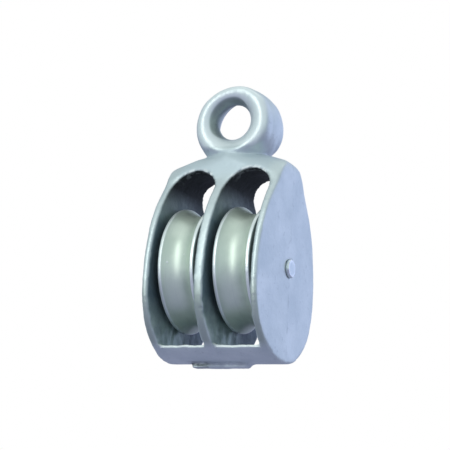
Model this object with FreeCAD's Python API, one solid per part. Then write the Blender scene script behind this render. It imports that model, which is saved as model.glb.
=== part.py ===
import FreeCAD, Part
import math
import os

# Double sheave block with a rigid eye, cast in one piece, with a fixed axle pin and two sheaves.
# Frame: origin at the middle of the eye's bore, +Y along the bore to the back, +X along the axle pin, +Z up.
# The shapes are made about the casting's parting plane, Y = 0, and moved back at the end by BORE_SET_FORWARD,
# because the narrowest part of the bore lies ahead of that plane. All lengths are in millimetres.

# Driving dimensions
SHEAVE_DIAMETER = 38.0        # nominal 1 1/2 in sheave, over its rims
AXLE_DROP = 45.4              # from the eye's centre down to the axle
PIN_DIAMETER = 4.8
BODY_HALF_WIDTH = 19.3        # at the parting plane, Y = 0
CHEEK_DEPTH = 42.6            # front to back, at the widest

# Body side profile
DRAFT_DEGREES = 2.6           # outer faces of the cheeks lean in towards front and back
BOTTOM_DROP = 28.0            # axle to the underside
SHOULDER_RADIUS = 45.0        # front and back faces above the axle
SHOULDER_START_DROP = 5.0     # where the shoulder leaves the vertical, below the axle
NECK_HALF_DEPTH = 8.2
NECK_BLEND_RADIUS = 12.0

# Crown: two roofs that fall from the middle to the cheeks, rounded from front to back
ROOF_RISE = 37.9              # axle to the ridge where the two roofs meet
ROOF_DEGREES = 18.0
ROOF_RADIUS = 9.8
ROOF_ARC_HALF_DEPTH = 7.8     # straight tangents continue the arc outside this
CROWN_CORNER_RADIUS = 4.0
CROWN_CORNER_BITE = 0.15      # keeps the corner's rounding from only grazing the roof

# Slots for the sheaves
DIVIDER_THICKNESS = 3.0
SLOT_WIDTH = 14.8
SLOT_FLOOR_DROP = 24.2        # axle to the floor of each slot
SLOT_ARCH_RISE = 21.8         # axle to the centre of the round top of each slot
SLOT_CORNER_RADIUS = 1.0

# Eye ring
RING_RADIUS = 12.9
RING_HALF_DEPTH = 8.0
RING_SHOULDER = 5.2           # radial width of the ring's rounded shoulder
RING_CENTRE_DROP = 1.3        # the ring's outside sits this far below its bore
RING_SET_BACK = 0.7           # the ring's middle, behind the parting plane
BORE_RADIUS = 5.5
BORE_LAND = 1.2               # the straight part of the bore, between two flared mouths
BORE_SET_FORWARD = 2.4        # the middle of that land, ahead of the parting plane
BORE_FLARE = 5.2              # radial width of each flared mouth
BORE_FLARE_DEGREES = 26.0     # the flares leave the land at this angle to the bore

# Gate stub under the crosshead
STUB_LENGTH = 19.0
STUB_HALF_DEPTH = 1.7
STUB_DROP = 29.4              # axle to the underside of the stub
STUB_END_SLOPE = 1.2

# Sheaves and pin
SHEAVE_RIM_WIDTH = 11.8
HUB_WIDTH = 14.3
HUB_RADIUS = 6.0
BORE_RUNNING_CLEARANCE = 0.05  # radial, sheave bore on pin
GROOVE_WIDTH = 9.6
GROOVE_RADIUS = 6.0
RIM_EDGE_RADIUS = 0.5
PIN_HEAD_DIAMETER = 5.4
PIN_HEAD_HEIGHT = 0.8

SLOT_CENTRE = (DIVIDER_THICKNESS + SLOT_WIDTH) / 2
AXLE_Z = -AXLE_DROP
SHEAVE_RADIUS = SHEAVE_DIAMETER / 2
X_AXIS = FreeCAD.Vector(1, 0, 0)
Y_AXIS = FreeCAD.Vector(0, 1, 0)
REACH = 60.0                  # longer than any part of the block: tools that cut or trim run this far


def along(*points):
    """Straight edges through the points, in order."""
    return [Part.LineSegment(a, b).toShape() for a, b in zip(points, points[1:])]


def arc(start, middle, end):
    return Part.Arc(start, middle, end).toShape()


def prism(edges, direction):
    """Extrude the closed loop of edges by the vector direction."""
    return Part.Face(Part.Wire(edges)).extrude(direction)


def yz(y, rise):
    """A point of a side profile, at a height above the axle."""
    return FreeCAD.Vector(0, y, AXLE_Z + rise)


def xz(x, rise):
    """A point of a front profile, at a height above the axle."""
    return FreeCAD.Vector(x, 0, AXLE_Z + rise)


def side_prism():
    """The block's side profile, a round bottom under two long shoulders and a neck, across the block."""
    half_depth = CHEEK_DEPTH / 2
    arc_centre_rise = half_depth - BOTTOM_DROP
    shoulder_centre = half_depth - SHOULDER_RADIUS
    reach = NECK_HALF_DEPTH - shoulder_centre
    neck_rise = math.sqrt(SHOULDER_RADIUS ** 2 - reach ** 2) - SHOULDER_START_DROP
    turn = math.acos(reach / SHOULDER_RADIUS) / 2
    middle_y = shoulder_centre + SHOULDER_RADIUS * math.cos(turn)
    middle_rise = SHOULDER_RADIUS * math.sin(turn) - SHOULDER_START_DROP

    def shoulder(side):
        return arc(
            yz(side * half_depth, -SHOULDER_START_DROP),
            yz(side * middle_y, middle_rise),
            yz(side * NECK_HALF_DEPTH, neck_rise),
        )

    edges = [arc(yz(-half_depth, arc_centre_rise), yz(0, -BOTTOM_DROP), yz(half_depth, arc_centre_rise))]
    edges += along(yz(half_depth, arc_centre_rise), yz(half_depth, -SHOULDER_START_DROP))
    edges.append(shoulder(1))
    edges += along(
        yz(NECK_HALF_DEPTH, neck_rise),
        yz(NECK_HALF_DEPTH, ROOF_RISE + 1),
        yz(-NECK_HALF_DEPTH, ROOF_RISE + 1),
        yz(-NECK_HALF_DEPTH, neck_rise),
    )
    edges.append(shoulder(-1))
    edges += along(yz(-half_depth, -SHOULDER_START_DROP), yz(-half_depth, arc_centre_rise))
    solid = prism(edges, FreeCAD.Vector(REACH, 0, 0))
    solid.translate(FreeCAD.Vector(-REACH / 2, 0, 0))
    corner_z = AXLE_Z + neck_rise
    neck_corners = [
        edge for edge in solid.Edges
        if all(abs(v.Z - corner_z) < 0.01 for v in edge.Vertexes) and edge.Length > REACH - 1
    ]
    return solid.makeFillet(NECK_BLEND_RADIUS, neck_corners)


def draft_prism():
    """The block's plan: widest at the parting plane, narrower to front and back."""
    lean = REACH * math.tan(math.radians(DRAFT_DEGREES))
    corners = [
        FreeCAD.Vector(BODY_HALF_WIDTH, 0, 0),
        FreeCAD.Vector(BODY_HALF_WIDTH - lean, REACH, 0),
        FreeCAD.Vector(lean - BODY_HALF_WIDTH, REACH, 0),
        FreeCAD.Vector(-BODY_HALF_WIDTH, 0, 0),
        FreeCAD.Vector(lean - BODY_HALF_WIDTH, -REACH, 0),
        FreeCAD.Vector(BODY_HALF_WIDTH - lean, -REACH, 0),
    ]
    solid = prism(along(*corners, corners[0]), FreeCAD.Vector(0, 0, 2 * REACH))
    solid.translate(FreeCAD.Vector(0, 0, AXLE_Z - REACH))
    return solid


def roof_prism(side):
    """The space under one roof, which falls towards the cheek on that side."""
    y = ROOF_ARC_HALF_DEPTH
    drop = ROOF_RADIUS - math.sqrt(ROOF_RADIUS ** 2 - y ** 2)
    slope = y / (ROOF_RADIUS - drop)
    eave_drop = drop + slope * (REACH - y)
    ends = [FreeCAD.Vector(0, -y, -drop), FreeCAD.Vector(0, y, -drop)]
    edges = [arc(ends[0], FreeCAD.Vector(0, 0, 0), ends[1])]
    edges += along(
        ends[1],
        FreeCAD.Vector(0, REACH, -eave_drop),
        FreeCAD.Vector(0, REACH, -eave_drop - REACH),
        FreeCAD.Vector(0, -REACH, -eave_drop - REACH),
        FreeCAD.Vector(0, -REACH, -eave_drop),
        ends[0],
    )
    solid = prism(edges, FreeCAD.Vector(2 * REACH, 0, 0))
    solid.translate(FreeCAD.Vector(-REACH, 0, 0))
    solid.rotate(FreeCAD.Vector(0, 0, 0), Y_AXIS, side * ROOF_DEGREES)
    solid.translate(FreeCAD.Vector(0, 0, AXLE_Z + ROOF_RISE))
    return solid


def crown_corner(side):
    """The tool that rounds the corner between a roof and a cheek, seen from the front."""
    fall = math.radians(ROOF_DEGREES)
    radius = CROWN_CORNER_RADIUS
    corner_rise = ROOF_RISE - BODY_HALF_WIDTH * math.tan(fall) - CROWN_CORNER_BITE
    tangent = radius * math.tan((math.pi / 2 - fall) / 2)
    on_cheek = xz(BODY_HALF_WIDTH, corner_rise - tangent)
    on_roof = xz(BODY_HALF_WIDTH - tangent * math.cos(fall), corner_rise + tangent * math.sin(fall))
    centre = on_cheek - FreeCAD.Vector(radius, 0, 0)
    middle_angle = (math.pi / 2 - fall) / 2
    middle = centre + FreeCAD.Vector(radius * math.cos(middle_angle), 0, radius * math.sin(middle_angle))
    clear = FreeCAD.Vector(radius, 0, 0)
    above = FreeCAD.Vector(0, 0, radius)
    edges = [arc(on_cheek, middle, on_roof)]
    edges += along(on_roof, on_roof + above, on_cheek + above + above + clear, on_cheek + clear, on_cheek)
    tool = prism(edges, FreeCAD.Vector(0, 2 * NECK_HALF_DEPTH, 0))
    tool.translate(FreeCAD.Vector(0, -NECK_HALF_DEPTH, 0))
    if side < 0:
        tool = tool.mirror(FreeCAD.Vector(0, 0, 0), X_AXIS)
    return tool


def eye_ring():
    """The ring's outside: a thick disc with elliptical shoulders, turned about its own centre."""
    centre = FreeCAD.Vector(0, RING_SET_BACK, -RING_CENTRE_DROP)
    inner = RING_RADIUS - RING_SHOULDER
    shoulder = Part.Ellipse(
        centre + FreeCAD.Vector(inner, RING_HALF_DEPTH, 0),
        centre + FreeCAD.Vector(RING_RADIUS, 0, 0),
        centre + FreeCAD.Vector(inner, 0, 0),
    )
    rim = Part.ArcOfEllipse(shoulder, 0, math.pi).toShape()
    ends = [vertex.Point for vertex in rim.Vertexes]
    ends.sort(key=lambda point: point.y)
    front = FreeCAD.Vector(0, ends[0].y, centre.z)
    back = FreeCAD.Vector(0, ends[1].y, centre.z)
    edges = [rim] + along(ends[1], back, front, ends[0])
    return Part.Face(Part.Wire(Part.__sortEdges__(edges))).revolve(centre, Y_AXIS, 360)


def eye_bore():
    """The tool for the eye: a short straight land with a flared mouth at each side."""
    mouth = BORE_RADIUS + BORE_FLARE

    def flare(way):
        """An arc that leaves the land at the flare's angle and curls outwards to the mouth."""
        land_y = way * BORE_LAND / 2 - BORE_SET_FORWARD
        depth = abs(RING_SET_BACK + way * RING_HALF_DEPTH - land_y)
        chord = math.hypot(BORE_FLARE, depth)
        curl = math.atan2(BORE_FLARE, depth) - math.radians(BORE_FLARE_DEGREES)
        sag = chord / 2 * math.tan(curl / 2)
        middle_radius = BORE_RADIUS + BORE_FLARE / 2 - sag * depth / chord
        middle_depth = depth / 2 + sag * BORE_FLARE / chord
        return arc(
            FreeCAD.Vector(BORE_RADIUS, land_y, 0),
            FreeCAD.Vector(middle_radius, land_y + way * middle_depth, 0),
            FreeCAD.Vector(mouth, land_y + way * depth, 0),
        )

    land_front = FreeCAD.Vector(BORE_RADIUS, -BORE_LAND / 2 - BORE_SET_FORWARD, 0)
    land_back = FreeCAD.Vector(BORE_RADIUS, BORE_LAND / 2 - BORE_SET_FORWARD, 0)
    edges = [flare(-1), flare(1)] + along(land_front, land_back)
    edges += along(
        FreeCAD.Vector(mouth, RING_SET_BACK - RING_HALF_DEPTH, 0),
        FreeCAD.Vector(mouth, -REACH, 0),
        FreeCAD.Vector(0, -REACH, 0),
        FreeCAD.Vector(0, REACH, 0),
        FreeCAD.Vector(mouth, REACH, 0),
        FreeCAD.Vector(mouth, RING_SET_BACK + RING_HALF_DEPTH, 0),
    )
    tool = Part.Face(Part.Wire(Part.__sortEdges__(edges))).revolve(FreeCAD.Vector(0, 0, 0), Y_AXIS, 360)
    tool.rotate(FreeCAD.Vector(0, 0, 0), Y_AXIS, 90)   # its seam then lies at the bottom, in the neck
    return tool


def slot(side):
    """The tool for one slot: square at the floor, round at the top, through from front to back."""
    half = SLOT_WIDTH / 2
    corner = SLOT_CORNER_RADIUS
    bend = corner * (1 - math.sqrt(0.5))
    floor = -SLOT_FLOOR_DROP
    edges = [
        arc(xz(-half, SLOT_ARCH_RISE), xz(0, SLOT_ARCH_RISE + half), xz(half, SLOT_ARCH_RISE)),
        arc(xz(-half, floor + corner), xz(bend - half, floor + bend), xz(corner - half, floor)),
        arc(xz(half - corner, floor), xz(half - bend, floor + bend), xz(half, floor + corner)),
    ]
    edges += along(xz(-half, SLOT_ARCH_RISE), xz(-half, floor + corner))
    edges += along(xz(corner - half, floor), xz(half - corner, floor))
    edges += along(xz(half, floor + corner), xz(half, SLOT_ARCH_RISE))
    tool = prism(Part.__sortEdges__(edges), FreeCAD.Vector(0, REACH, 0))
    tool.translate(FreeCAD.Vector(side * SLOT_CENTRE, -REACH / 2, 0))
    return tool


def gate_stub():
    """The broken-off gate under the crosshead, with sloping ends."""
    half = STUB_LENGTH / 2
    inside = 2 - BOTTOM_DROP
    points = [
        xz(-half - STUB_END_SLOPE, inside),
        xz(-half, -STUB_DROP),
        xz(half - STUB_END_SLOPE, -STUB_DROP),
        xz(half + STUB_END_SLOPE, inside),
    ]
    stub = prism(along(*points, points[0]), FreeCAD.Vector(0, 2 * STUB_HALF_DEPTH, 0))
    stub.translate(FreeCAD.Vector(0, -STUB_HALF_DEPTH, 0))
    return stub


def pin_cylinder(radius, start, end):
    """A cylinder on the axle, from X = start to X = end."""
    return Part.makeCylinder(radius, end - start, FreeCAD.Vector(start, 0, AXLE_Z), X_AXIS)


def block_body():
    body = side_prism().common(draft_prism())
    for side in (-1, 1):
        body = body.common(roof_prism(side))
    for side in (-1, 1):
        body = body.cut(crown_corner(side))
    body = body.fuse(eye_ring()).fuse(gate_stub())
    for side in (-1, 1):
        body = body.cut(slot(side))
    body = body.cut(eye_bore())
    return body.cut(pin_cylinder(PIN_DIAMETER / 2, -REACH, REACH)).removeSplitter()


def axle_pin():
    """A plain pin, with its ends spread into low domed heads on the cheeks."""
    pin = pin_cylinder(PIN_DIAMETER / 2, -BODY_HALF_WIDTH, BODY_HALF_WIDTH)
    tip = BODY_HALF_WIDTH + PIN_HEAD_HEIGHT
    for side in (-1, 1):
        start, end = sorted([side * BODY_HALF_WIDTH, side * tip])
        head = pin_cylinder(PIN_HEAD_DIAMETER / 2, start, end)
        rim = [edge for edge in head.Edges if all(abs(abs(v.X) - tip) < 0.01 for v in edge.Vertexes)]
        pin = pin.fuse(head.makeFillet(PIN_HEAD_HEIGHT * 0.7, rim))
    return pin.removeSplitter()


def sheave(side):
    """A solid sheave: a round-bottomed rope groove between two rims, and a hub that stands proud."""
    half_rim = SHEAVE_RIM_WIDTH / 2
    half_hub = HUB_WIDTH / 2
    half_groove = GROOVE_WIDTH / 2
    bore = PIN_DIAMETER / 2 + BORE_RUNNING_CLEARANCE
    sagitta = GROOVE_RADIUS - math.sqrt(GROOVE_RADIUS ** 2 - half_groove ** 2)
    edge = RIM_EDGE_RADIUS
    bend = edge * (1 - math.sqrt(0.5))

    def at(x, radius):
        return FreeCAD.Vector(x, 0, radius)

    groove_floor = at(0, SHEAVE_RADIUS - sagitta)
    edges = [arc(at(-half_groove, SHEAVE_RADIUS), groove_floor, at(half_groove, SHEAVE_RADIUS))]
    for way in (-1, 1):
        edges += along(at(way * half_groove, SHEAVE_RADIUS), at(way * (half_rim - edge), SHEAVE_RADIUS))
        edges.append(arc(
            at(way * (half_rim - edge), SHEAVE_RADIUS),
            at(way * (half_rim - bend), SHEAVE_RADIUS - bend),
            at(way * half_rim, SHEAVE_RADIUS - edge),
        ))
        edges += along(
            at(way * half_rim, SHEAVE_RADIUS - edge),
            at(way * half_rim, HUB_RADIUS),
            at(way * half_hub, HUB_RADIUS),
            at(way * half_hub, bore),
        )
    edges += along(at(-half_hub, bore), at(half_hub, bore))
    face = Part.Face(Part.Wire(Part.__sortEdges__(edges)))
    solid = face.revolve(FreeCAD.Vector(0, 0, 0), X_AXIS, 360)
    solid.translate(FreeCAD.Vector(side * SLOT_CENTRE, 0, AXLE_Z))
    return solid


def main():
    nodes = {
        "block_body": block_body(),
        "axle_pin": axle_pin(),
        "left_sheave": sheave(-1),
        "right_sheave": sheave(1),
    }
    os.makedirs("parts", exist_ok=True)
    for name, shape in nodes.items():
        solid = shape.Solids[0]
        solid.translate(FreeCAD.Vector(0, BORE_SET_FORWARD, 0))
        solid.exportStep("parts/" + name + ".step")
        box = solid.BoundBox
        print(name, solid.ShapeType, "valid", solid.isValid(), "volume", round(solid.Volume, 1),
              "box", [round(v, 2) for v in (box.XMin, box.XMax, box.YMin, box.YMax, box.ZMin, box.ZMax)])


main()
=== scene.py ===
import math

import bmesh
import bpy
import numpy as np
from mathutils import Matrix, Vector, noise


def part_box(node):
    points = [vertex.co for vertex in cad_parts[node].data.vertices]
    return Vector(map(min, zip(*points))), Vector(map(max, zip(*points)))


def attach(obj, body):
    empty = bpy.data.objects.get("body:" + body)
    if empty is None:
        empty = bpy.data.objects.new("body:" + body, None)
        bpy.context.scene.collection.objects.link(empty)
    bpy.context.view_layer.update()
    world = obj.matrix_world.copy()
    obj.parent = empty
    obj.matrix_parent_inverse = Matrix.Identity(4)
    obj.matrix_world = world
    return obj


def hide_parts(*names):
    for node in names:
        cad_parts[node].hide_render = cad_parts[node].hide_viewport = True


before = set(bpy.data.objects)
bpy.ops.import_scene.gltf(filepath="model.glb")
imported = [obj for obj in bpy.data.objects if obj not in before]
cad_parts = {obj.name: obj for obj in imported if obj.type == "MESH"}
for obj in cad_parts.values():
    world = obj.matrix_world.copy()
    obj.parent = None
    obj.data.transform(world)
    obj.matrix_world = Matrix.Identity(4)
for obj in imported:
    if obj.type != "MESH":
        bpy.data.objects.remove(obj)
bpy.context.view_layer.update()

# Places and sizes on the block, in metres, in the CAD frame
MM = 0.001
PARTING_Y = 2.4 * MM                                # the casting's parting plane
AXLE = np.array([0.0, PARTING_Y, -45.4 * MM])       # middle of the axle pin
RING_CENTRE = np.array([0.0, 3.1 * MM, -1.3 * MM])
SLOT_CENTRE = 8.9 * MM                              # each slot's middle, left and right of the divider
SLOT_HALF = 7.4 * MM
SLOT_ARCH_Z = -23.6 * MM                            # centre of each slot's round top
SLOT_FLOOR_Z = -69.6 * MM
UNDERSIDE_Z = -73.4 * MM
RIDGE_Z = -7.5 * MM                                 # where the crown's two roofs meet
ROOF_SLOPE = math.tan(math.radians(18))
STUB_HALF = 10.7 * MM                               # the gate stub, along X
STUB_SHIFT = -0.8 * MM
CRACK_HEIGHT = -73.75                               # the crack over the gate stub, in millimetres
LIP_REACH = 12.14 * MM                              # parting plane to a slot floor's front or back edge
LIP_TILT = math.radians(14)
LIP_CUT = 1.25 * MM
LIP_RISE = 0.55 * MM
LIP_SPREAD = 1.7 * MM
LIP_SIZE = 2.5 * MM                                 # nothing further than this from a lip's tip is cut
CHEEK_X = 17.5 * MM                                 # just inside each cheek's outer face
VOXEL = 0.45 * MM
FIRST_ROUNDS = 4                                    # smoothing rounds: all the casting, the crown, the eye
CROWN_ROUNDS = 22
EYE_ROUNDS = 70
BEND_GAIN = 4.5                                     # how soon a sharp edge counts as polished

# The sheaves and the pin, in millimetres
GROOVE_RADIUS = 6.0
GROOVE_HALF = 4.8
SHEAVE_RADIUS = 19.0
RIM_HALF = 5.9
HUB_RADIUS = 6.0
HUB_HALF = 7.15
SHEAVE_BORE = 2.45
SHEAVE_SEGMENTS = 192
PIN_RADIUS = 2.4
HEAD_RADIUS = 2.7
HEAD_FOOT = 19.15                                   # where each head starts, from the middle of the block
PIN_HALF = 20.1
PIN_SEGMENTS = 96

FLOOR_Z = -160 * MM                                 # below the camera, which looks up at a hanging block
NOISE_SHIFT = Vector((11.3, 4.7, 8.1))              # picks one fixed stretch of the noise for all the meshes

# The camera: its direction from the block in degrees, what it aims at and its distance in millimetres
CAMERA_AZIMUTH = 26.34
CAMERA_ELEVATION = -11.98
CAMERA_ROLL = -3.13
CAMERA_AIM = (-2.204, 1.309, -31.524)
CAMERA_DISTANCE = 434.8
CAMERA_LENS = 115.4

# The directions that the studio's soft light comes from
LIGHT_FRONT = (-0.42, -0.88, 0.20)
LIGHT_BEHIND = (0.44, 0.88, 0.18)
LIGHT_BESIDE = (0.83, -0.54, 0.14)
LAMP_AIM = Vector((0, 0, -0.035))

# Colours, as linear red, green and blue; two together are the ends of a cloudy mix
PLATING = ((0.61, 0.68, 0.70), (0.73, 0.79, 0.80))
PIT = (0.38, 0.43, 0.46)
SLOT_WALL = ((0.46, 0.55, 0.54), (0.62, 0.72, 0.69))
# Painted shade in the slots: darker to the back, nearly black in the arches and darker beside the sheaves
DEEP_WALL_SHADE = (0.07, 0.09, 0.12)
SLOT_ARCH_SHADE = (0.045, 0.05, 0.05)
WALL_SHADE_BESIDE_SHEAVE = (0.13, 0.19, 0.24)
# Painted shade in the eye's bore
BORE_SHADE = (0.22, 0.27, 0.25)
# Painted shade on the lower front strips
LOWER_STRIP_SHADE = (0.42, 0.49, 0.43)
# Painted shade on the crown's front
CROWN_SHADE = (0.54, 0.62, 0.66)
# Polished edges, and a painted highlight on the eye's faces
POLISHED_AND_HIGHLIGHT = (0.88, 0.93, 0.94)
# Burrs, near white as a painted highlight
BURR_AND_HIGHLIGHT = (0.96, 1.0, 0.97)
# Painted shadow in the crack over the gate stub
CRACK_SHADOW = (0.05, 0.05, 0.06)
PARTING_LINE = (0.42, 0.47, 0.50)
SHEAVE_METAL = ((0.64, 0.72, 0.63), (0.74, 0.81, 0.72))
TURNING_RING = (0.56, 0.62, 0.59)
# Painted highlight on the sheaves' thin rims
SHEAVE_RIM_HIGHLIGHT = (0.88, 0.92, 0.91)
SPECK = (0.95, 0.97, 0.96)
PIN_METAL = ((0.80, 0.86, 0.88), (0.90, 0.94, 0.95))
PIN_END = (0.58, 0.67, 0.71)
FLOOR = ((0.39, 0.37, 0.52), (0.42, 0.40, 0.54))
WHITE = (1.0, 1.0, 1.0, 1.0)


# Meshes

def new_object(name, mesh):
    obj = bpy.data.objects.new(name, mesh)
    bpy.context.scene.collection.objects.link(obj)
    return obj


def get_array(collection, field, width, kind=np.float32):
    values = np.empty(len(collection) * width, kind)
    collection.foreach_get(field, values)
    return values.reshape(-1, width)


def smooth_step(values, low, high):
    t = np.clip((values - low) / (high - low), 0, 1)
    return t * t * (3 - 2 * t)


def neighbour_mean(values, edges):
    """For each vertex, the mean of values over the vertices that share an edge with it."""
    n = len(values)
    count = np.bincount(edges.ravel(), minlength=n)
    columns = values.reshape(n, -1)
    total = [
        np.bincount(edges[:, 0], column[edges[:, 1]], n) + np.bincount(edges[:, 1], column[edges[:, 0]], n)
        for column in columns.T
    ]
    return (np.array(total) / np.maximum(count, 1)).T.reshape(values.shape)


def relax(points, edges, weight, rounds):
    """Move each vertex towards its neighbours' mean, by weight, round after round."""
    for _ in range(rounds):
        points = points + (neighbour_mean(points, edges) - points) * weight[:, None]
    return points


def mesh_noise(points, size):
    """Smooth noise from -1 to 1 at each point, with features of about that size."""
    return np.array([noise.noise(Vector(p) / size + NOISE_SHIFT) for p in points])


def remeshed(node, voxel):
    """A copy of a CAD node's mesh, rebuilt as an even skin of small quads."""
    skin = bmesh.new()
    skin.from_mesh(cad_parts[node].data)
    bmesh.ops.remove_doubles(skin, verts=skin.verts, dist=0.001 * MM)
    welded = bpy.data.meshes.new(node + "_welded")
    skin.to_mesh(welded)
    skin.free()
    obj = new_object(node + "_skin", welded)
    remesh = obj.modifiers.new("skin", "REMESH")
    remesh.mode = "VOXEL"
    remesh.voxel_size = voxel
    remesh.adaptivity = 0
    mesh = bpy.data.meshes.new_from_object(obj.evaluated_get(bpy.context.evaluated_depsgraph_get()))
    bpy.data.objects.remove(obj)
    bpy.data.meshes.remove(welded)
    mesh.materials.clear()
    return mesh


def put_back(mesh, points):
    mesh.vertices.foreach_set("co", points.astype(np.float32).ravel())
    mesh.update()


def get_normals(mesh):
    return get_array(mesh.vertex_normals, "vector", 3).astype(float)


def add_attribute(mesh, name, values):
    attribute = mesh.attributes.new(name, "FLOAT", "POINT")
    attribute.data.foreach_set("value", values.astype(np.float32))


def outside_slots(points):
    """How far each point is outside the nearer slot's outline, seen from the front."""
    across = np.abs(np.abs(points[:, 0]) - SLOT_CENTRE)
    above_arch = np.maximum(points[:, 2] - SLOT_ARCH_Z, 0)
    beside = np.hypot(across, above_arch) - SLOT_HALF
    return np.maximum(beside, SLOT_FLOOR_Z - points[:, 2])


def slot_share(points):
    """1 on the walls of the slots and 0 outside them."""
    return 1 - smooth_step(outside_slots(points), 0.1 * MM, 0.35 * MM)


def stub_share(points):
    """1 on the torn end of the gate stub, fading out at the crosshead's underside."""
    down = 1 - smooth_step(points[:, 2], UNDERSIDE_Z - 0.5 * MM, UNDERSIDE_Z + 0.5 * MM)
    across = 1 - smooth_step(np.abs(points[:, 0]), STUB_HALF, STUB_HALF + 1.5 * MM)
    deep = 1 - smooth_step(np.abs(points[:, 1] - PARTING_Y), 2.2 * MM, 3.2 * MM)
    return down * across * deep


def cut_lips(points):
    """Bevel the slot floors' thin front and back lips and raise them a little, in place: 1 on the bevels."""
    lip = np.zeros(len(points))
    over_floor = 1 - smooth_step(np.abs(np.abs(points[:, 0]) - SLOT_CENTRE), SLOT_HALF - 0.6 * MM, SLOT_HALF)
    for side in (-1, 1):
        tip = np.array([PARTING_Y + side * LIP_REACH, SLOT_FLOOR_Z])
        facing = np.array([side * math.cos(LIP_TILT), math.sin(LIP_TILT)])
        from_tip = points[:, 1:] - tip
        beyond = np.maximum(from_tip @ facing + LIP_CUT, 0) * over_floor
        beyond[np.hypot(from_tip[:, 0], from_tip[:, 1]) > LIP_SIZE] = 0
        points[:, 1:] -= beyond[:, None] * facing
        points[:, 2] += LIP_RISE * over_floor * np.exp(-((from_tip ** 2).sum(1)) / LIP_SPREAD ** 2)
        lip = np.maximum(lip, smooth_step(beyond, 0.02 * MM, 0.12 * MM))
    return lip


# Small dents and nicks in the casting: place (mm), radius (mm) and depth (mm)
DENTS = (
    ((1.6, -16.8, -61.2), 0.7, 0.34),
    ((0.9, -17.4, -60.0), 0.5, 0.26),
    ((1.3, -16.6, -63.2), 0.5, 0.22),
    ((1.4, -17.6, -57.5), 0.5, 0.22),
    ((-0.4, -18.4, -51.6), 0.4, 0.16),
    ((-12.1, -11.4, -18.3), 0.6, 0.28),
    ((-9.2, -11.0, -16.9), 0.8, 0.34),
    ((-6.5, -11.0, -16.9), 0.7, 0.30),
    ((6.2, -11.4, -17.4), 0.7, 0.32),
    ((9.0, -11.0, -16.4), 0.7, 0.30),
    ((11.4, -11.0, -16.8), 0.8, 0.38),
    ((4.3, -12.2, -18.8), 0.6, 0.24),
    ((17.6, -17.4, -62.6), 0.6, 0.16),
    ((-17.9, -18.0, -63.2), 0.7, 0.22),
    ((-17.2, -17.6, -34.5), 0.5, 0.14),
    ((16.9, -10.6, -22.4), 0.5, 0.12),
    ((-9.8, 0.3, -73.5), 0.8, 0.60),
    ((-8.6, 0.4, -73.4), 0.8, 0.80),
    ((-7.2, 0.3, -73.4), 0.8, 0.80),
    ((-5.8, 0.4, -73.4), 0.7, 0.65),
    ((-4.4, 0.3, -73.4), 0.6, 0.35),
    ((-1.6, 0.4, -73.4), 0.6, 0.20),
    ((1.2, 0.3, -73.4), 0.7, 0.28),
    ((4.0, 0.4, -73.4), 0.6, 0.18),
)


def crown_foot_share(points, over_roof):
    """1 in a band just under the crown's roofs, clear of the eye's bore and of the slots, and 0 elsewhere."""
    share = smooth_step(over_roof, -8.5 * MM, -6.5 * MM) * (1 - smooth_step(over_roof, -3.4 * MM, -2.0 * MM))
    from_bore = np.hypot(points[:, 0], points[:, 2])
    clear_of_slots = smooth_step(outside_slots(points), 0.5 * MM, 1.8 * MM)
    share *= smooth_step(from_bore, 10.6 * MM, 11.8 * MM) * clear_of_slots
    return share * (1 - smooth_step(np.abs(points[:, 0]), 10 * MM, 15 * MM))


def fill_out_eye(mesh, points, edges, over_roof):
    """Make the eye's front and back shoulders fuller and round, and lift the crown's two outer ends."""
    from_middle = points - RING_CENTRE
    from_axis = np.hypot(from_middle[:, 0], from_middle[:, 2])
    above_foot = smooth_step(points[:, 2], -9.4 * MM, -5.4 * MM)
    end = smooth_step(np.abs(from_middle[:, 1]), 2.5 * MM, 5.5 * MM) * above_foot
    fuller = end * np.exp(-((from_axis / MM - 11.2) / 1.2) ** 2)
    put_back(mesh, points)
    normals = get_normals(mesh)
    fuller *= 0.9 + 0.9 * smooth_step(points[:, 0], -3 * MM, 6 * MM)
    points = points + normals * fuller[:, None] * MM
    crest = end * (1 - smooth_step(np.abs(from_axis - 10.4 * MM), 2.2 * MM, 3.4 * MM))
    points = relax(points, edges, 0.5 * crest, EYE_ROUNDS)

    crown_end = smooth_step(np.abs(points[:, 0]), 7 * MM, 12 * MM) * smooth_step(normals[:, 2], 0.2, 0.6)
    raised = 0.5 * MM * crown_end * smooth_step(over_roof, -8 * MM, -5 * MM)
    points[:, 2] += raised * (outside_slots(points) > 0.5 * MM)
    return points


def roughened(mesh, points, hollow, stub):
    """The points, moved along their normals: an uneven skin, lumpy slots, a torn stub and the dents."""
    put_back(mesh, points)
    normals = get_normals(mesh)
    lift = (1 - hollow) * (0.030 * mesh_noise(points, 5.5 * MM) + 0.014 * mesh_noise(points, 1.3 * MM))
    near_floor = 1 - smooth_step(points[:, 2], -64 * MM, -58 * MM)
    lumps = 0.16 * mesh_noise(points, 3.0 * MM) + 0.07 * mesh_noise(points, 1.3 * MM)
    lift += hollow * (0.35 + 1.65 * near_floor) * lumps
    lift += stub * (0.10 * mesh_noise(points, 2.0 * MM) + 0.05 * mesh_noise(points, 0.8 * MM) - 0.05)
    from_pin = np.hypot(points[:, 1] - AXLE[1], points[:, 2] - AXLE[2])
    beside_head = np.exp(-((from_pin / MM - 3.1) / 0.45) ** 2) * (np.abs(points[:, 0]) > CHEEK_X)
    lift -= 0.05 * beside_head
    for place, radius, depth in DENTS:
        away = np.linalg.norm(points / MM - np.array(place), axis=1) / radius
        lift -= depth * np.exp(-away ** 2)
    return points + normals * lift[:, None] * MM


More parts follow.
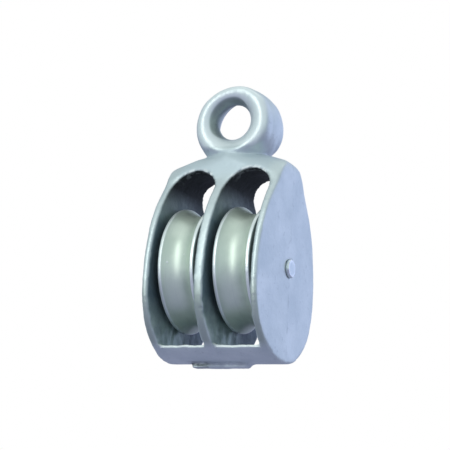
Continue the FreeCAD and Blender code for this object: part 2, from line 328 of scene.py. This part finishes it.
def edge_wear_and_highlight_share(points, edges, normals, from_bore, upper_left):
    """1 on the sharp edges below the crown, which are polished, and on the eye's faces, where a highlight is
    painted, and 0 elsewhere.
    """
    bend = ((points - neighbour_mean(points, edges)) * normals).sum(1) / VOXEL
    for _ in range(2):
        bend = neighbour_mean(bend, edges)
    # Painted highlight on the eye's front and back faces, reaching further into the bore away from its upper
    # left
    ring_face_highlight = smooth_step(np.abs(normals[:, 1]), 0.10, 0.55)
    ring_face_highlight *= smooth_step(from_bore, 5.4 + 1.4 * upper_left, 6.4 + 1.4 * upper_left)
    ring_end = smooth_step(np.abs(points[:, 1] - RING_CENTRE[1]), 2.6 * MM, 4.4 * MM)
    ring_face_highlight = np.maximum(ring_face_highlight, ring_end * smooth_step(points[:, 0], 3 * MM, 7 * MM))
    top = smooth_step(points[:, 2], 6 * MM, 9 * MM)
    above_foot = smooth_step(points[:, 2], -9.5 * MM, -7.5 * MM)
    ring_face_highlight *= above_foot * (1 - smooth_step(from_bore, 11.4 - top, 12.8 - top))
    return np.clip(bend * BEND_GAIN * (points[:, 2] < -10 * MM) + ring_face_highlight, 0, 1)


def torn_and_crack_shadow_share(points, stub):
    """1 in the crack over the gate stub, where a shadow is painted, less on the stub's darker torn left part,
    and 0 elsewhere.
    """
    from_crack = points[:, 2] / MM - CRACK_HEIGHT + 0.3 * mesh_noise(points, 1.6 * MM)
    crack_shadow = np.exp(-(from_crack / 0.42) ** 2)
    crack_shadow *= (np.abs(points[:, 1] - PARTING_Y) < 4 * MM) * smooth_step(points[:, 0], -11.5 * MM, -10.5 * MM)
    fainter_middle = 0.7 * smooth_step(points[:, 0], -6 * MM, -3 * MM)
    fainter_right = 0.3 * smooth_step(points[:, 0], 6 * MM, 9 * MM)
    crack_shadow *= 1 - fainter_middle - fainter_right
    return np.maximum(0.35 * stub * (points[:, 0] < -5 * MM), crack_shadow)


def burr_and_highlight_share(points, lip):
    """1 on the slot floors' lips and on ragged bits of the front mouths' round tops, burrs coloured near
    white as a painted highlight, and 0 elsewhere.
    """
    in_front = points[:, 1] < PARTING_Y - 5 * MM
    at_mouth = np.exp(-((outside_slots(points) / MM - 0.45) / 0.35) ** 2) * in_front
    at_mouth *= smooth_step(points[:, 2], SLOT_ARCH_Z + 3.5 * MM, SLOT_ARCH_Z + 6 * MM)
    ragged = smooth_step(mesh_noise(points, 1.1 * MM) + 0.6 * mesh_noise(points, 3.1 * MM), -0.05, 0.25)
    return np.maximum(at_mouth * ragged, lip)


def bore_shade_share(points, from_bore, upper_left):
    """How much painted shade darkens the eye's bore: most at its upper left, and 0 outside it."""
    behind = smooth_step(points[:, 1], PARTING_Y - 1 * MM, PARTING_Y + 2 * MM)
    in_bore = 1 - smooth_step(from_bore, 6.7 + 2.4 * behind, 7.9 + 2.4 * behind)
    return in_bore * (0.04 + 0.70 * upper_left + 0.25 * behind * upper_left)


def crown_shade_and_matte_share(points, normals, hollow):
    """1 on the crown's front between the eye and the slots, where shade is painted and the metal is made less
    metallic, and 0 elsewhere.
    """
    front = smooth_step(-normals[:, 1], 0.15, 0.6) * (1 - smooth_step(np.abs(points[:, 0]), 13 * MM, 17 * MM))
    below_eye = 1 - smooth_step(points[:, 2], -10 * MM, -9.2 * MM)
    front *= smooth_step(points[:, 2], -22 * MM, -16 * MM) * below_eye
    return front * (1 - hollow)


def lower_strip_shade_share(points, normals, hollow):
    """1 on the lower front strips of the cheeks and the divider, where shade is painted, and 0 elsewhere."""
    strip = (1 - hollow) * smooth_step(-normals[:, 1], 0.1, 0.5) * (np.abs(points[:, 0]) < 18.6 * MM)
    lower_part = 1 - smooth_step(points[:, 2], -58 * MM, -48 * MM)
    strip *= lower_part * smooth_step(points[:, 2], -70.5 * MM, -68 * MM)
    return strip


def casting_mesh():
    """The casting, from its CAD solid: rounded edges, uneven slots and a torn gate stub."""
    mesh = remeshed("block_body", VOXEL)
    points = get_array(mesh.vertices, "co", 3).astype(float)
    edges = get_array(mesh.edges, "vertices", 2, np.int32)
    points = relax(points, edges, np.full(len(points), 0.5), FIRST_ROUNDS)
    over_roof = points[:, 2] - RIDGE_Z + np.abs(points[:, 0]) * ROOF_SLOPE
    points = relax(points, edges, 0.5 * crown_foot_share(points, over_roof), CROWN_ROUNDS)
    points = fill_out_eye(mesh, points, edges, over_roof)
    lip = cut_lips(points)
    stub = stub_share(points)
    points[:, 0] += STUB_SHIFT * stub
    hollow = slot_share(points)
    points = roughened(mesh, points, hollow, stub)
    box_low, box_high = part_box("block_body")
    put_back(mesh, np.clip(points, np.array(box_low), np.array(box_high)))

    normals = get_normals(mesh)
    from_bore = np.hypot(points[:, 0], points[:, 2]) / MM
    # upper_left is the eye's upper left: painted shade goes into the bore there, and the eye's painted
    # highlight stays further out
    upper_left = smooth_step(0.66 * points[:, 2] - 0.75 * points[:, 0], -4 * MM, 4 * MM)
    add_attribute(mesh, "edge", edge_wear_and_highlight_share(points, edges, normals, from_bore, upper_left))
    add_attribute(mesh, "hollow", neighbour_mean(hollow, edges))
    add_attribute(mesh, "torn_and_crack_shadow", torn_and_crack_shadow_share(points, stub))
    add_attribute(mesh, "burr_and_highlight", burr_and_highlight_share(points, lip))
    add_attribute(mesh, "bore", bore_shade_share(points, from_bore, upper_left))
    add_attribute(mesh, "crown", crown_shade_and_matte_share(points, normals, hollow))
    add_attribute(mesh, "lower_strip_shade", lower_strip_shade_share(points, normals, hollow))
    mesh.shade_smooth()
    return mesh


def rounded(corner, start, end, radius, steps):
    """Points that round a corner of a profile, between the directions of its two sides."""
    corner, start, end = (np.array(p, float) for p in (corner, start, end))
    to_start = (start - corner) / np.linalg.norm(start - corner)
    to_end = (end - corner) / np.linalg.norm(end - corner)
    half = math.acos(np.clip(to_start @ to_end, -1, 1)) / 2
    reach = radius / math.tan(half)
    bisector = (to_start + to_end) / np.linalg.norm(to_start + to_end)
    centre = corner + bisector * radius / math.sin(half)
    first = corner + to_start * reach - centre
    last = corner + to_end * reach - centre
    turn = math.atan2(first[0] * last[1] - first[1] * last[0], first @ last)
    points = []
    for angle in np.linspace(0, turn, steps + 1):
        c, s = math.cos(angle), math.sin(angle)
        points.append(centre + [c * first[0] - s * first[1], s * first[0] + c * first[1]])
    return points


def turned_mesh(name, profile, middle_x, segments, closed):
    """A mesh turned about the axle from a profile of (x, radius) points, in millimetres."""
    profile = np.array(profile) * MM
    angles = np.arange(segments) * 2 * math.pi / segments
    rings = np.empty((segments, len(profile), 3))
    rings[:, :, 0] = middle_x + profile[:, 0]
    rings[:, :, 1] = AXLE[1] + np.cos(angles)[:, None] * profile[:, 1]
    rings[:, :, 2] = AXLE[2] + np.sin(angles)[:, None] * profile[:, 1]
    points = rings.reshape(-1, 3)
    n = len(profile)
    faces = []
    for i in range(segments):
        after = (i + 1) % segments
        for j in range(n if closed else n - 1):
            k = (j + 1) % n
            faces.append((i * n + j, i * n + k, after * n + k, after * n + j))
    mesh = bpy.data.meshes.new(name)
    mesh.from_pydata(points.tolist(), [], faces)
    clean = bmesh.new()
    clean.from_mesh(mesh)
    bmesh.ops.remove_doubles(clean, verts=clean.verts, dist=0.002 * MM)
    bmesh.ops.recalc_face_normals(clean, faces=clean.faces)
    clean.to_mesh(mesh)
    clean.free()
    mesh.shade_smooth()
    return mesh


def sheave_mesh(name, side):
    """A turned sheave: round groove, thin rounded rims, flat flanks and a hub that stands proud."""
    groove_depth = GROOVE_RADIUS - math.sqrt(GROOVE_RADIUS ** 2 - GROOVE_HALF ** 2)
    groove_foot = SHEAVE_RADIUS - groove_depth
    half = []
    for angle in np.linspace(0, math.asin(GROOVE_HALF / GROOVE_RADIUS), 20)[:-1]:
        half.append((GROOVE_RADIUS * math.sin(angle), groove_foot + GROOVE_RADIUS * (1 - math.cos(angle))))
    groove_top = (GROOVE_HALF, SHEAVE_RADIUS)
    in_groove = (GROOVE_HALF - 0.35, SHEAVE_RADIUS - 0.3)
    rim_corner = (RIM_HALF, SHEAVE_RADIUS)
    hub_foot = (RIM_HALF, HUB_RADIUS)
    hub_corner = (HUB_HALF, HUB_RADIUS)
    bore_corner = (HUB_HALF, SHEAVE_BORE)
    half += rounded(groove_top, in_groove, rim_corner, 0.12, 3)
    half += rounded(rim_corner, groove_top, hub_foot, 0.5, 6)
    half += [(RIM_HALF, r) for r in (17.6, 16.4, 15.0, 12.5, 10.0, 8.0, 6.6)]
    half += rounded(hub_foot, (RIM_HALF, 7.0), hub_corner, 0.3, 4)
    half += rounded(hub_corner, hub_foot, bore_corner, 0.3, 4)
    half += [(HUB_HALF, r) for r in (5.0, 4.0, 3.1)]
    half += rounded(bore_corner, (HUB_HALF, 4.0), (0, SHEAVE_BORE), 0.2, 3)
    profile = half + [(-x, r) for x, r in reversed(half[1:])]
    mesh = turned_mesh(name, profile, side * SLOT_CENTRE, SHEAVE_SEGMENTS, True)
    points = get_array(mesh.vertices, "co", 3).astype(float)
    normals = get_normals(mesh)
    radius = np.hypot(points[:, 1] - AXLE[1], points[:, 2] - AXLE[2]) / MM
    worn = smooth_step(radius, 15.5, 16.5)
    lift = worn * (0.012 * mesh_noise(points, 3.0 * MM) - 0.02)
    rim = smooth_step(radius, 18.7, 18.95)
    lift -= rim * 0.05 * np.clip(mesh_noise(points, 1.2 * MM) * 3 - 0.9, 0, 1)
    put_back(mesh, points + normals * lift[:, None] * MM)
    add_attribute(mesh, "rim", rim)
    return mesh


def pin_mesh():
    """The axle pin, its two ends spread into low domed heads."""
    half = [(x, PIN_RADIUS) for x in (0.0, 6.0, 12.0, 17.0)]
    half += rounded((HEAD_FOOT, PIN_RADIUS), (17.0, PIN_RADIUS), (HEAD_FOOT, HEAD_RADIUS), 0.05, 2)
    half += rounded((HEAD_FOOT, HEAD_RADIUS), (HEAD_FOOT, PIN_RADIUS), (19.95, HEAD_RADIUS), 0.05, 2)
    half += rounded((20.05, HEAD_RADIUS), (HEAD_FOOT, HEAD_RADIUS), (PIN_HALF, 0.0), 0.5, 6)
    half += [(20.06, 1.7), (20.08, 1.2), (20.09, 0.6), (PIN_HALF, 0.0)]
    profile = [(-x, r) for x, r in reversed(half[1:])] + half
    mesh = turned_mesh("axle_pin_turned", profile, 0.0, PIN_SEGMENTS, False)
    points = get_array(mesh.vertices, "co", 3).astype(float)
    face = smooth_step(np.abs(points[:, 0]), 19.7 * MM, 19.95 * MM)
    points[:, 0] -= np.sign(points[:, 0]) * face * 0.05 * MM * (1 + mesh_noise(points, 1.3 * MM))
    put_back(mesh, points)
    from_middle = np.hypot(points[:, 1] - AXLE[1], points[:, 2] - AXLE[2])
    add_attribute(mesh, "end", face * (1 - smooth_step(from_middle, 1.9 * MM, 2.35 * MM)))
    return mesh


# Materials

def add(tree, kind, inputs=None, **settings):
    """A shader node with its settings, and its inputs set to values or linked to other nodes' outputs."""
    node = tree.nodes.new(kind)
    for key, value in settings.items():
        setattr(node, key, value)
    for key, value in (inputs or {}).items():
        if isinstance(value, bpy.types.NodeSocket):
            tree.links.new(value, node.inputs[key])
        else:
            node.inputs[key].default_value = value
    return node


def grain(tree, place, scale, detail=3.0, roughness=0.5):
    inputs = {"Vector": place, "Scale": scale, "Detail": detail, "Roughness": roughness}
    return add(tree, "ShaderNodeTexNoise", inputs).outputs["Fac"]


def span(tree, value, low, high, to_low=0.0, to_high=1.0):
    inputs = {"Value": value, "From Min": low, "From Max": high, "To Min": to_low, "To Max": to_high}
    return add(tree, "ShaderNodeMapRange", inputs).outputs["Result"]


def math_node(tree, operation, a, b):
    return add(tree, "ShaderNodeMath", {0: a, 1: b}, operation=operation).outputs[0]


def mix(tree, share, a, b):
    """A colour from a to b."""
    node = add(tree, "ShaderNodeMix", data_type="RGBA")
    for socket, value in ((node.inputs[0], share), (node.inputs[6], a), (node.inputs[7], b)):
        if isinstance(value, bpy.types.NodeSocket):
            tree.links.new(value, socket)
        elif isinstance(value, tuple):
            socket.default_value = (*value, 1.0)
        else:
            socket.default_value = value
    return node.outputs[2]


def attribute(tree, name):
    return add(tree, "ShaderNodeAttribute", attribute_name=name).outputs["Fac"]


def multiply(tree, a, b):
    return math_node(tree, "MULTIPLY", a, b)


def subtract(tree, a, b):
    return math_node(tree, "SUBTRACT", a, b)


def bump(tree, height, strength, distance, after=None):
    inputs = {"Height": height, "Strength": strength, "Distance": distance}
    if after is not None:
        inputs["Normal"] = after
    return add(tree, "ShaderNodeBump", inputs).outputs["Normal"]


def new_metal(name):
    """A metal material, with its tree, its shader and its object coordinates."""
    material = bpy.data.materials.new(name)
    material.use_nodes = True
    tree = material.node_tree
    shader = tree.nodes["Principled BSDF"]
    shader.inputs["Metallic"].default_value = 1.0
    place = add(tree, "ShaderNodeTexCoord").outputs["Object"]
    return material, tree, shader, place


def slot_wall_colour_and_shade(tree, place, height, depth):
    """The slots' rough walls, with painted shade: nearly black in their arches, darker to the back and beside
    the sheaves.
    """
    cloud = span(tree, grain(tree, place, 230, 3), 0.35, 0.65)
    below_arch = span(tree, height, -0.031, -0.021, 1.0, 0.0)
    colour = mix(tree, cloud, *SLOT_WALL)
    # Painted shade: darker to the back of the slots, nearly black in the arches, darker on the walls beside
    # the sheaves
    colour = mix(tree, span(tree, depth, 0.001, 0.010, 0.0, 0.8), colour, DEEP_WALL_SHADE)
    colour = mix(tree, below_arch, SLOT_ARCH_SHADE, colour)
    above_floor = span(tree, height, -0.064, -0.055)
    below_top = span(tree, height, -0.034, -0.027, 0.85, 0.0)
    return mix(tree, multiply(tree, above_floor, below_top), colour, WALL_SHADE_BESIDE_SHEAVE)


def cast_metal():
    """Satin plated casting: fine grain, rough slots with painted shade, polished edges, painted shade and a
    painted highlight on the eye, painted shade on the crown and the lower front strips, burrs with a painted
    highlight, a painted shadow in the stub's crack and a faint parting line.
    """
    material, tree, shader, place = new_metal("plated_casting")
    cloud = grain(tree, place, 90, 4)
    skin = grain(tree, place, 1500, 3, 0.6)
    pits = grain(tree, place, 520, 4, 0.65)
    hollow = attribute(tree, "hollow")
    edge = attribute(tree, "edge")
    torn_and_crack_shadow = attribute(tree, "torn_and_crack_shadow")
    burr_and_highlight = attribute(tree, "burr_and_highlight")
    crown = attribute(tree, "crown")
    split = add(tree, "ShaderNodeSeparateXYZ", {"Vector": place})
    from_parting = math_node(tree, "ABSOLUTE", subtract(tree, split.outputs["Y"], PARTING_Y), 0.0)
    from_centre = math_node(tree, "ABSOLUTE", split.outputs["X"], 0.0)
    near_parting = span(tree, from_parting, 0.0001, 0.0006, 1.0, 0.0)
    line = multiply(tree, near_parting, span(tree, from_centre, 0.016, 0.0175))
    line = multiply(tree, line, span(tree, grain(tree, place, 260, 2), 0.45, 0.65))

    colour = mix(tree, span(tree, cloud, 0.35, 0.65), *PLATING)
    colour = mix(tree, span(tree, pits, 0.60, 0.74, 0.0, 0.45), colour, PIT)
    # Painted shade in the eye's bore, most at its upper left
    colour = mix(tree, attribute(tree, "bore"), colour, BORE_SHADE)
    # Painted shade on the lower front strips of the cheeks and the divider
    colour = mix(tree, multiply(tree, attribute(tree, "lower_strip_shade"), 0.8), colour, LOWER_STRIP_SHADE)
    # Painted shade on the crown's front, between the eye and the slots
    colour = mix(tree, multiply(tree, crown, 0.8), colour, CROWN_SHADE)
    walls = slot_wall_colour_and_shade(tree, place, split.outputs["Z"], split.outputs["Y"])
    colour = mix(tree, hollow, colour, walls)
    # Polished edges, and a painted highlight on the eye's faces
    colour = mix(tree, span(tree, edge, 0.25, 0.9, 0.0, 0.75), colour, POLISHED_AND_HIGHLIGHT)
    # Burrs on the lips and the mouths' tops, near white as a painted highlight
    colour = mix(tree, burr_and_highlight, colour, BURR_AND_HIGHLIGHT)
    # Painted shadow in the crack over the gate stub, and the stub's darker torn metal
    colour = mix(tree, multiply(tree, torn_and_crack_shadow, span(tree, pits, 0.2, 0.5)), colour, CRACK_SHADOW)
    colour = mix(tree, multiply(tree, line, 0.45), colour, PARTING_LINE)
    tree.links.new(colour, shader.inputs["Base Color"])

    metallic = subtract(tree, span(tree, burr_and_highlight, 0.0, 1.0, 1.0, 0.2), multiply(tree, edge, 0.55))
    metallic = subtract(tree, metallic, multiply(tree, crown, 0.6))
    tree.links.new(metallic, shader.inputs["Metallic"])

    rough = span(tree, skin, 0.3, 0.7, 0.42, 0.54)
    rough = math_node(tree, "ADD", rough, multiply(tree, hollow, 0.15))
    rough = subtract(tree, rough, multiply(tree, edge, 0.06))
    rough = subtract(tree, rough, multiply(tree, burr_and_highlight, 0.12))
    tree.links.new(rough, shader.inputs["Roughness"])

    normal = bump(tree, skin, 0.30, 0.00007)
    normal = bump(tree, pits, 0.45, 0.00015, normal)
    normal = bump(tree, line, 0.5, 0.00008, normal)
    lumps = grain(tree, place, 520, 3, 0.6)
    normal = bump(tree, multiply(tree, lumps, hollow), 0.4, 0.0002, normal)
    tree.links.new(normal, shader.inputs["Normal"])
    return material


def turned_metal():
    """Satin turned metal: fine rings about the axle, rims with a painted highlight, faint stains and a few
    specks.
    """
    material, tree, shader, place = new_metal("turned_sheave")
    shader.inputs["Metallic"].default_value = 0.7
    from_axle = add(tree, "ShaderNodeVectorMath", {0: place, 1: tuple(AXLE)}, operation="SUBTRACT")
    split = add(tree, "ShaderNodeSeparateXYZ", {"Vector": from_axle.outputs["Vector"]})
    flat = add(tree, "ShaderNodeCombineXYZ", {"X": 0.0, "Y": split.outputs["Y"], "Z": split.outputs["Z"]})
    radius = add(tree, "ShaderNodeVectorMath", {0: flat.outputs[0]}, operation="LENGTH").outputs["Value"]
    section = add(tree, "ShaderNodeCombineXYZ", {"X": split.outputs["X"], "Y": radius, "Z": 0.0}).outputs[0]
    rings = grain(tree, section, 3200, 2, 0.7)
    cloud = grain(tree, place, 140, 4)
    speck = add(tree, "ShaderNodeTexVoronoi", {"Vector": place, "Scale": 210.0}).outputs["Distance"]
    chosen = grain(tree, place, 75, 1)
    speck = multiply(tree, span(tree, speck, 0.03, 0.09, 1.0, 0.0), span(tree, chosen, 0.56, 0.62))
    rim = attribute(tree, "rim")

    colour = mix(tree, span(tree, cloud, 0.35, 0.65), *SHEAVE_METAL)
    colour = mix(tree, span(tree, rings, 0.55, 0.75, 0.0, 0.3), colour, TURNING_RING)
    # Painted highlight on the sheaves' thin rims
    colour = mix(tree, rim, colour, SHEAVE_RIM_HIGHLIGHT)
    colour = mix(tree, speck, colour, SPECK)
    tree.links.new(colour, shader.inputs["Base Color"])

    rough = span(tree, cloud, 0.3, 0.7, 0.39, 0.47)
    rough = subtract(tree, rough, multiply(tree, rim, 0.08))
    tree.links.new(rough, shader.inputs["Roughness"])

    normal = bump(tree, rings, 0.18, 0.00003)
    normal = bump(tree, grain(tree, place, 1400, 2), 0.10, 0.00004, normal)
    normal = bump(tree, speck, 0.6, 0.0001, normal)
    tree.links.new(normal, shader.inputs["Normal"])
    return material


def pin_metal():
    """Steel pin: drawn along its length, hammered on its two ends."""
    material, tree, shader, place = new_metal("pin_steel")
    stretched = add(tree, "ShaderNodeMapping", {"Vector": place, "Scale": (60.0, 1800.0, 1800.0)}).outputs[0]
    drawn = grain(tree, stretched, 1, 3)
    hammered = add(tree, "ShaderNodeTexVoronoi", {"Vector": place, "Scale": 900.0}, feature="SMOOTH_F1")
    cloud = grain(tree, place, 500, 3)
    colour = mix(tree, span(tree, cloud, 0.35, 0.65), *PIN_METAL)
    end = attribute(tree, "end")
    colour = mix(tree, multiply(tree, end, 0.6), colour, PIN_END)
    tree.links.new(colour, shader.inputs["Base Color"])
    rough = span(tree, drawn, 0.3, 0.7, 0.16, 0.26)
    rough = math_node(tree, "ADD", rough, multiply(tree, end, 0.2))
    tree.links.new(rough, shader.inputs["Roughness"])
    normal = bump(tree, drawn, 0.12, 0.00004)
    normal = bump(tree, hammered.outputs["Distance"], 0.35, 0.0001, normal)
    tree.links.new(normal, shader.inputs["Normal"])
    return material


# Camera, light and floor

def view_axes():
    """The camera's right, up and back, for a view from the front right and below, a little rolled."""
    azimuth, elevation, roll = (math.radians(a) for a in (CAMERA_AZIMUTH, CAMERA_ELEVATION, CAMERA_ROLL))
    back = Vector((
        math.sin(azimuth) * math.cos(elevation),
        -math.cos(azimuth) * math.cos(elevation),
        math.sin(elevation),
    ))
    level = Vector((math.cos(azimuth), math.sin(azimuth), 0))
    upright = back.cross(level)
    right = level * math.cos(roll) - upright * math.sin(roll)
    up = level * math.sin(roll) + upright * math.cos(roll)
    return right, up, back


def place_camera():
    right, up, back = view_axes()
    aim = Vector(CAMERA_AIM) * MM
    data = bpy.data.cameras.new("camera")
    data.sensor_width = 36
    data.lens = CAMERA_LENS
    data.clip_start = 0.01
    camera = bpy.data.objects.new("camera", data)
    bpy.context.scene.collection.objects.link(camera)
    turn = Matrix((right, up, back)).transposed().to_4x4()
    camera.matrix_world = Matrix.Translation(aim + back * CAMERA_DISTANCE * MM) @ turn
    bpy.context.scene.camera = camera


def area_light(name, place, size, power, colour):
    """A soft lamp, of that width and height, that points at the middle of the block."""
    data = bpy.data.lights.new(name, "AREA")
    data.shape = "RECTANGLE"
    data.size, data.size_y = size
    data.energy = power
    data.color = colour
    lamp = bpy.data.objects.new(name, data)
    bpy.context.scene.collection.objects.link(lamp)
    lamp.location = place
    towards = LAMP_AIM - Vector(place)
    lamp.rotation_euler = towards.to_track_quat("-Z", "Y").to_euler()


def facing(tree, towards, direction):
    """How far a direction agrees with a fixed one, up to 1 for the same direction."""
    node = add(tree, "ShaderNodeVectorMath", {0: towards, 1: direction}, operation="DOT_PRODUCT")
    return node.outputs["Value"]


def light_studio():
    """A white backdrop, soft light from the left front, the right and behind, and dim blue from below."""
    world = bpy.data.worlds.new("studio")
    bpy.context.scene.world = world
    world.use_nodes = True
    tree = world.node_tree
    tree.nodes.clear()
    towards = add(tree, "ShaderNodeTexCoord").outputs["Generated"]
    front = facing(tree, towards, LIGHT_FRONT)
    behind = facing(tree, towards, LIGHT_BEHIND)
    beside = facing(tree, towards, LIGHT_BESIDE)
    height = add(tree, "ShaderNodeSeparateXYZ", {"Vector": towards}).outputs["Z"]
    colour = mix(tree, span(tree, front, 0.15, 0.8), (0.20, 0.24, 0.32), (0.50, 0.62, 0.61))
    colour = mix(tree, span(tree, beside, 0.65, 0.92), colour, (0.66, 0.78, 0.80))
    colour = mix(tree, span(tree, behind, 0.55, 0.92), colour, (0.72, 0.82, 1.14))
    colour = mix(tree, span(tree, height, 0.4, 0.95), colour, (0.72, 0.80, 0.80))
    colour = mix(tree, span(tree, height, -0.45, 0.0, 1.0, 0.0), colour, (0.20, 0.22, 0.34))
    around = add(tree, "ShaderNodeBackground", {"Color": colour, "Strength": 1.0}).outputs[0]
    backdrop = add(tree, "ShaderNodeBackground", {"Color": WHITE, "Strength": 1.0}).outputs[0]
    seen = add(tree, "ShaderNodeLightPath").outputs["Is Camera Ray"]
    surface = add(tree, "ShaderNodeMixShader", {0: seen, 1: around, 2: backdrop}).outputs[0]
    add(tree, "ShaderNodeOutputWorld", {"Surface": surface})
    area_light("key", (-0.25, -0.85, 0.28), (0.20, 1.0), 2.6, (0.97, 1.0, 0.98))
    area_light("top", (0.0, 0.15, 0.60), (0.5, 0.35), 0.15, (1.0, 1.0, 1.0))
    bpy.context.scene.view_settings.view_transform = "Standard"


def lay_floor():
    mesh = bpy.data.meshes.new("floor")
    corners = [(x, y, FLOOR_Z) for x, y in ((-1, -1), (1, -1), (1, 1), (-1, 1))]
    mesh.from_pydata(corners, [], [(0, 1, 2, 3)])
    floor = new_object("floor", mesh)
    material = bpy.data.materials.new("pale_floor")
    material.use_nodes = True
    tree = material.node_tree
    shader = tree.nodes["Principled BSDF"]
    shader.inputs["Roughness"].default_value = 0.9
    place = add(tree, "ShaderNodeTexCoord").outputs["Object"]
    tone = span(tree, grain(tree, place, 6, 2), 0.3, 0.7)
    tree.links.new(mix(tree, tone, *FLOOR), shader.inputs["Base Color"])
    mesh.materials.append(material)


def main():
    turned = turned_metal()
    left = sheave_mesh("sheave_left", -1)
    right = sheave_mesh("sheave_right", 1)
    pieces = (
        ("casting", casting_mesh(), cast_metal(), "block", "block_body", "body_casting"),
        ("pin", pin_mesh(), pin_metal(), "block", "axle_pin", "pin_steel"),
        ("sheave_left", left, turned, "left_sheave", "left_sheave", "sheave_metal"),
        ("sheave_right", right, turned, "right_sheave", "right_sheave", "sheave_metal"),
    )
    for name, mesh, material, body, node, slot in pieces:
        piece = new_object(name, mesh)
        mesh.materials.append(material)
        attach(piece, body)
        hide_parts(node)
    place_camera()
    light_studio()
    lay_floor()


main()
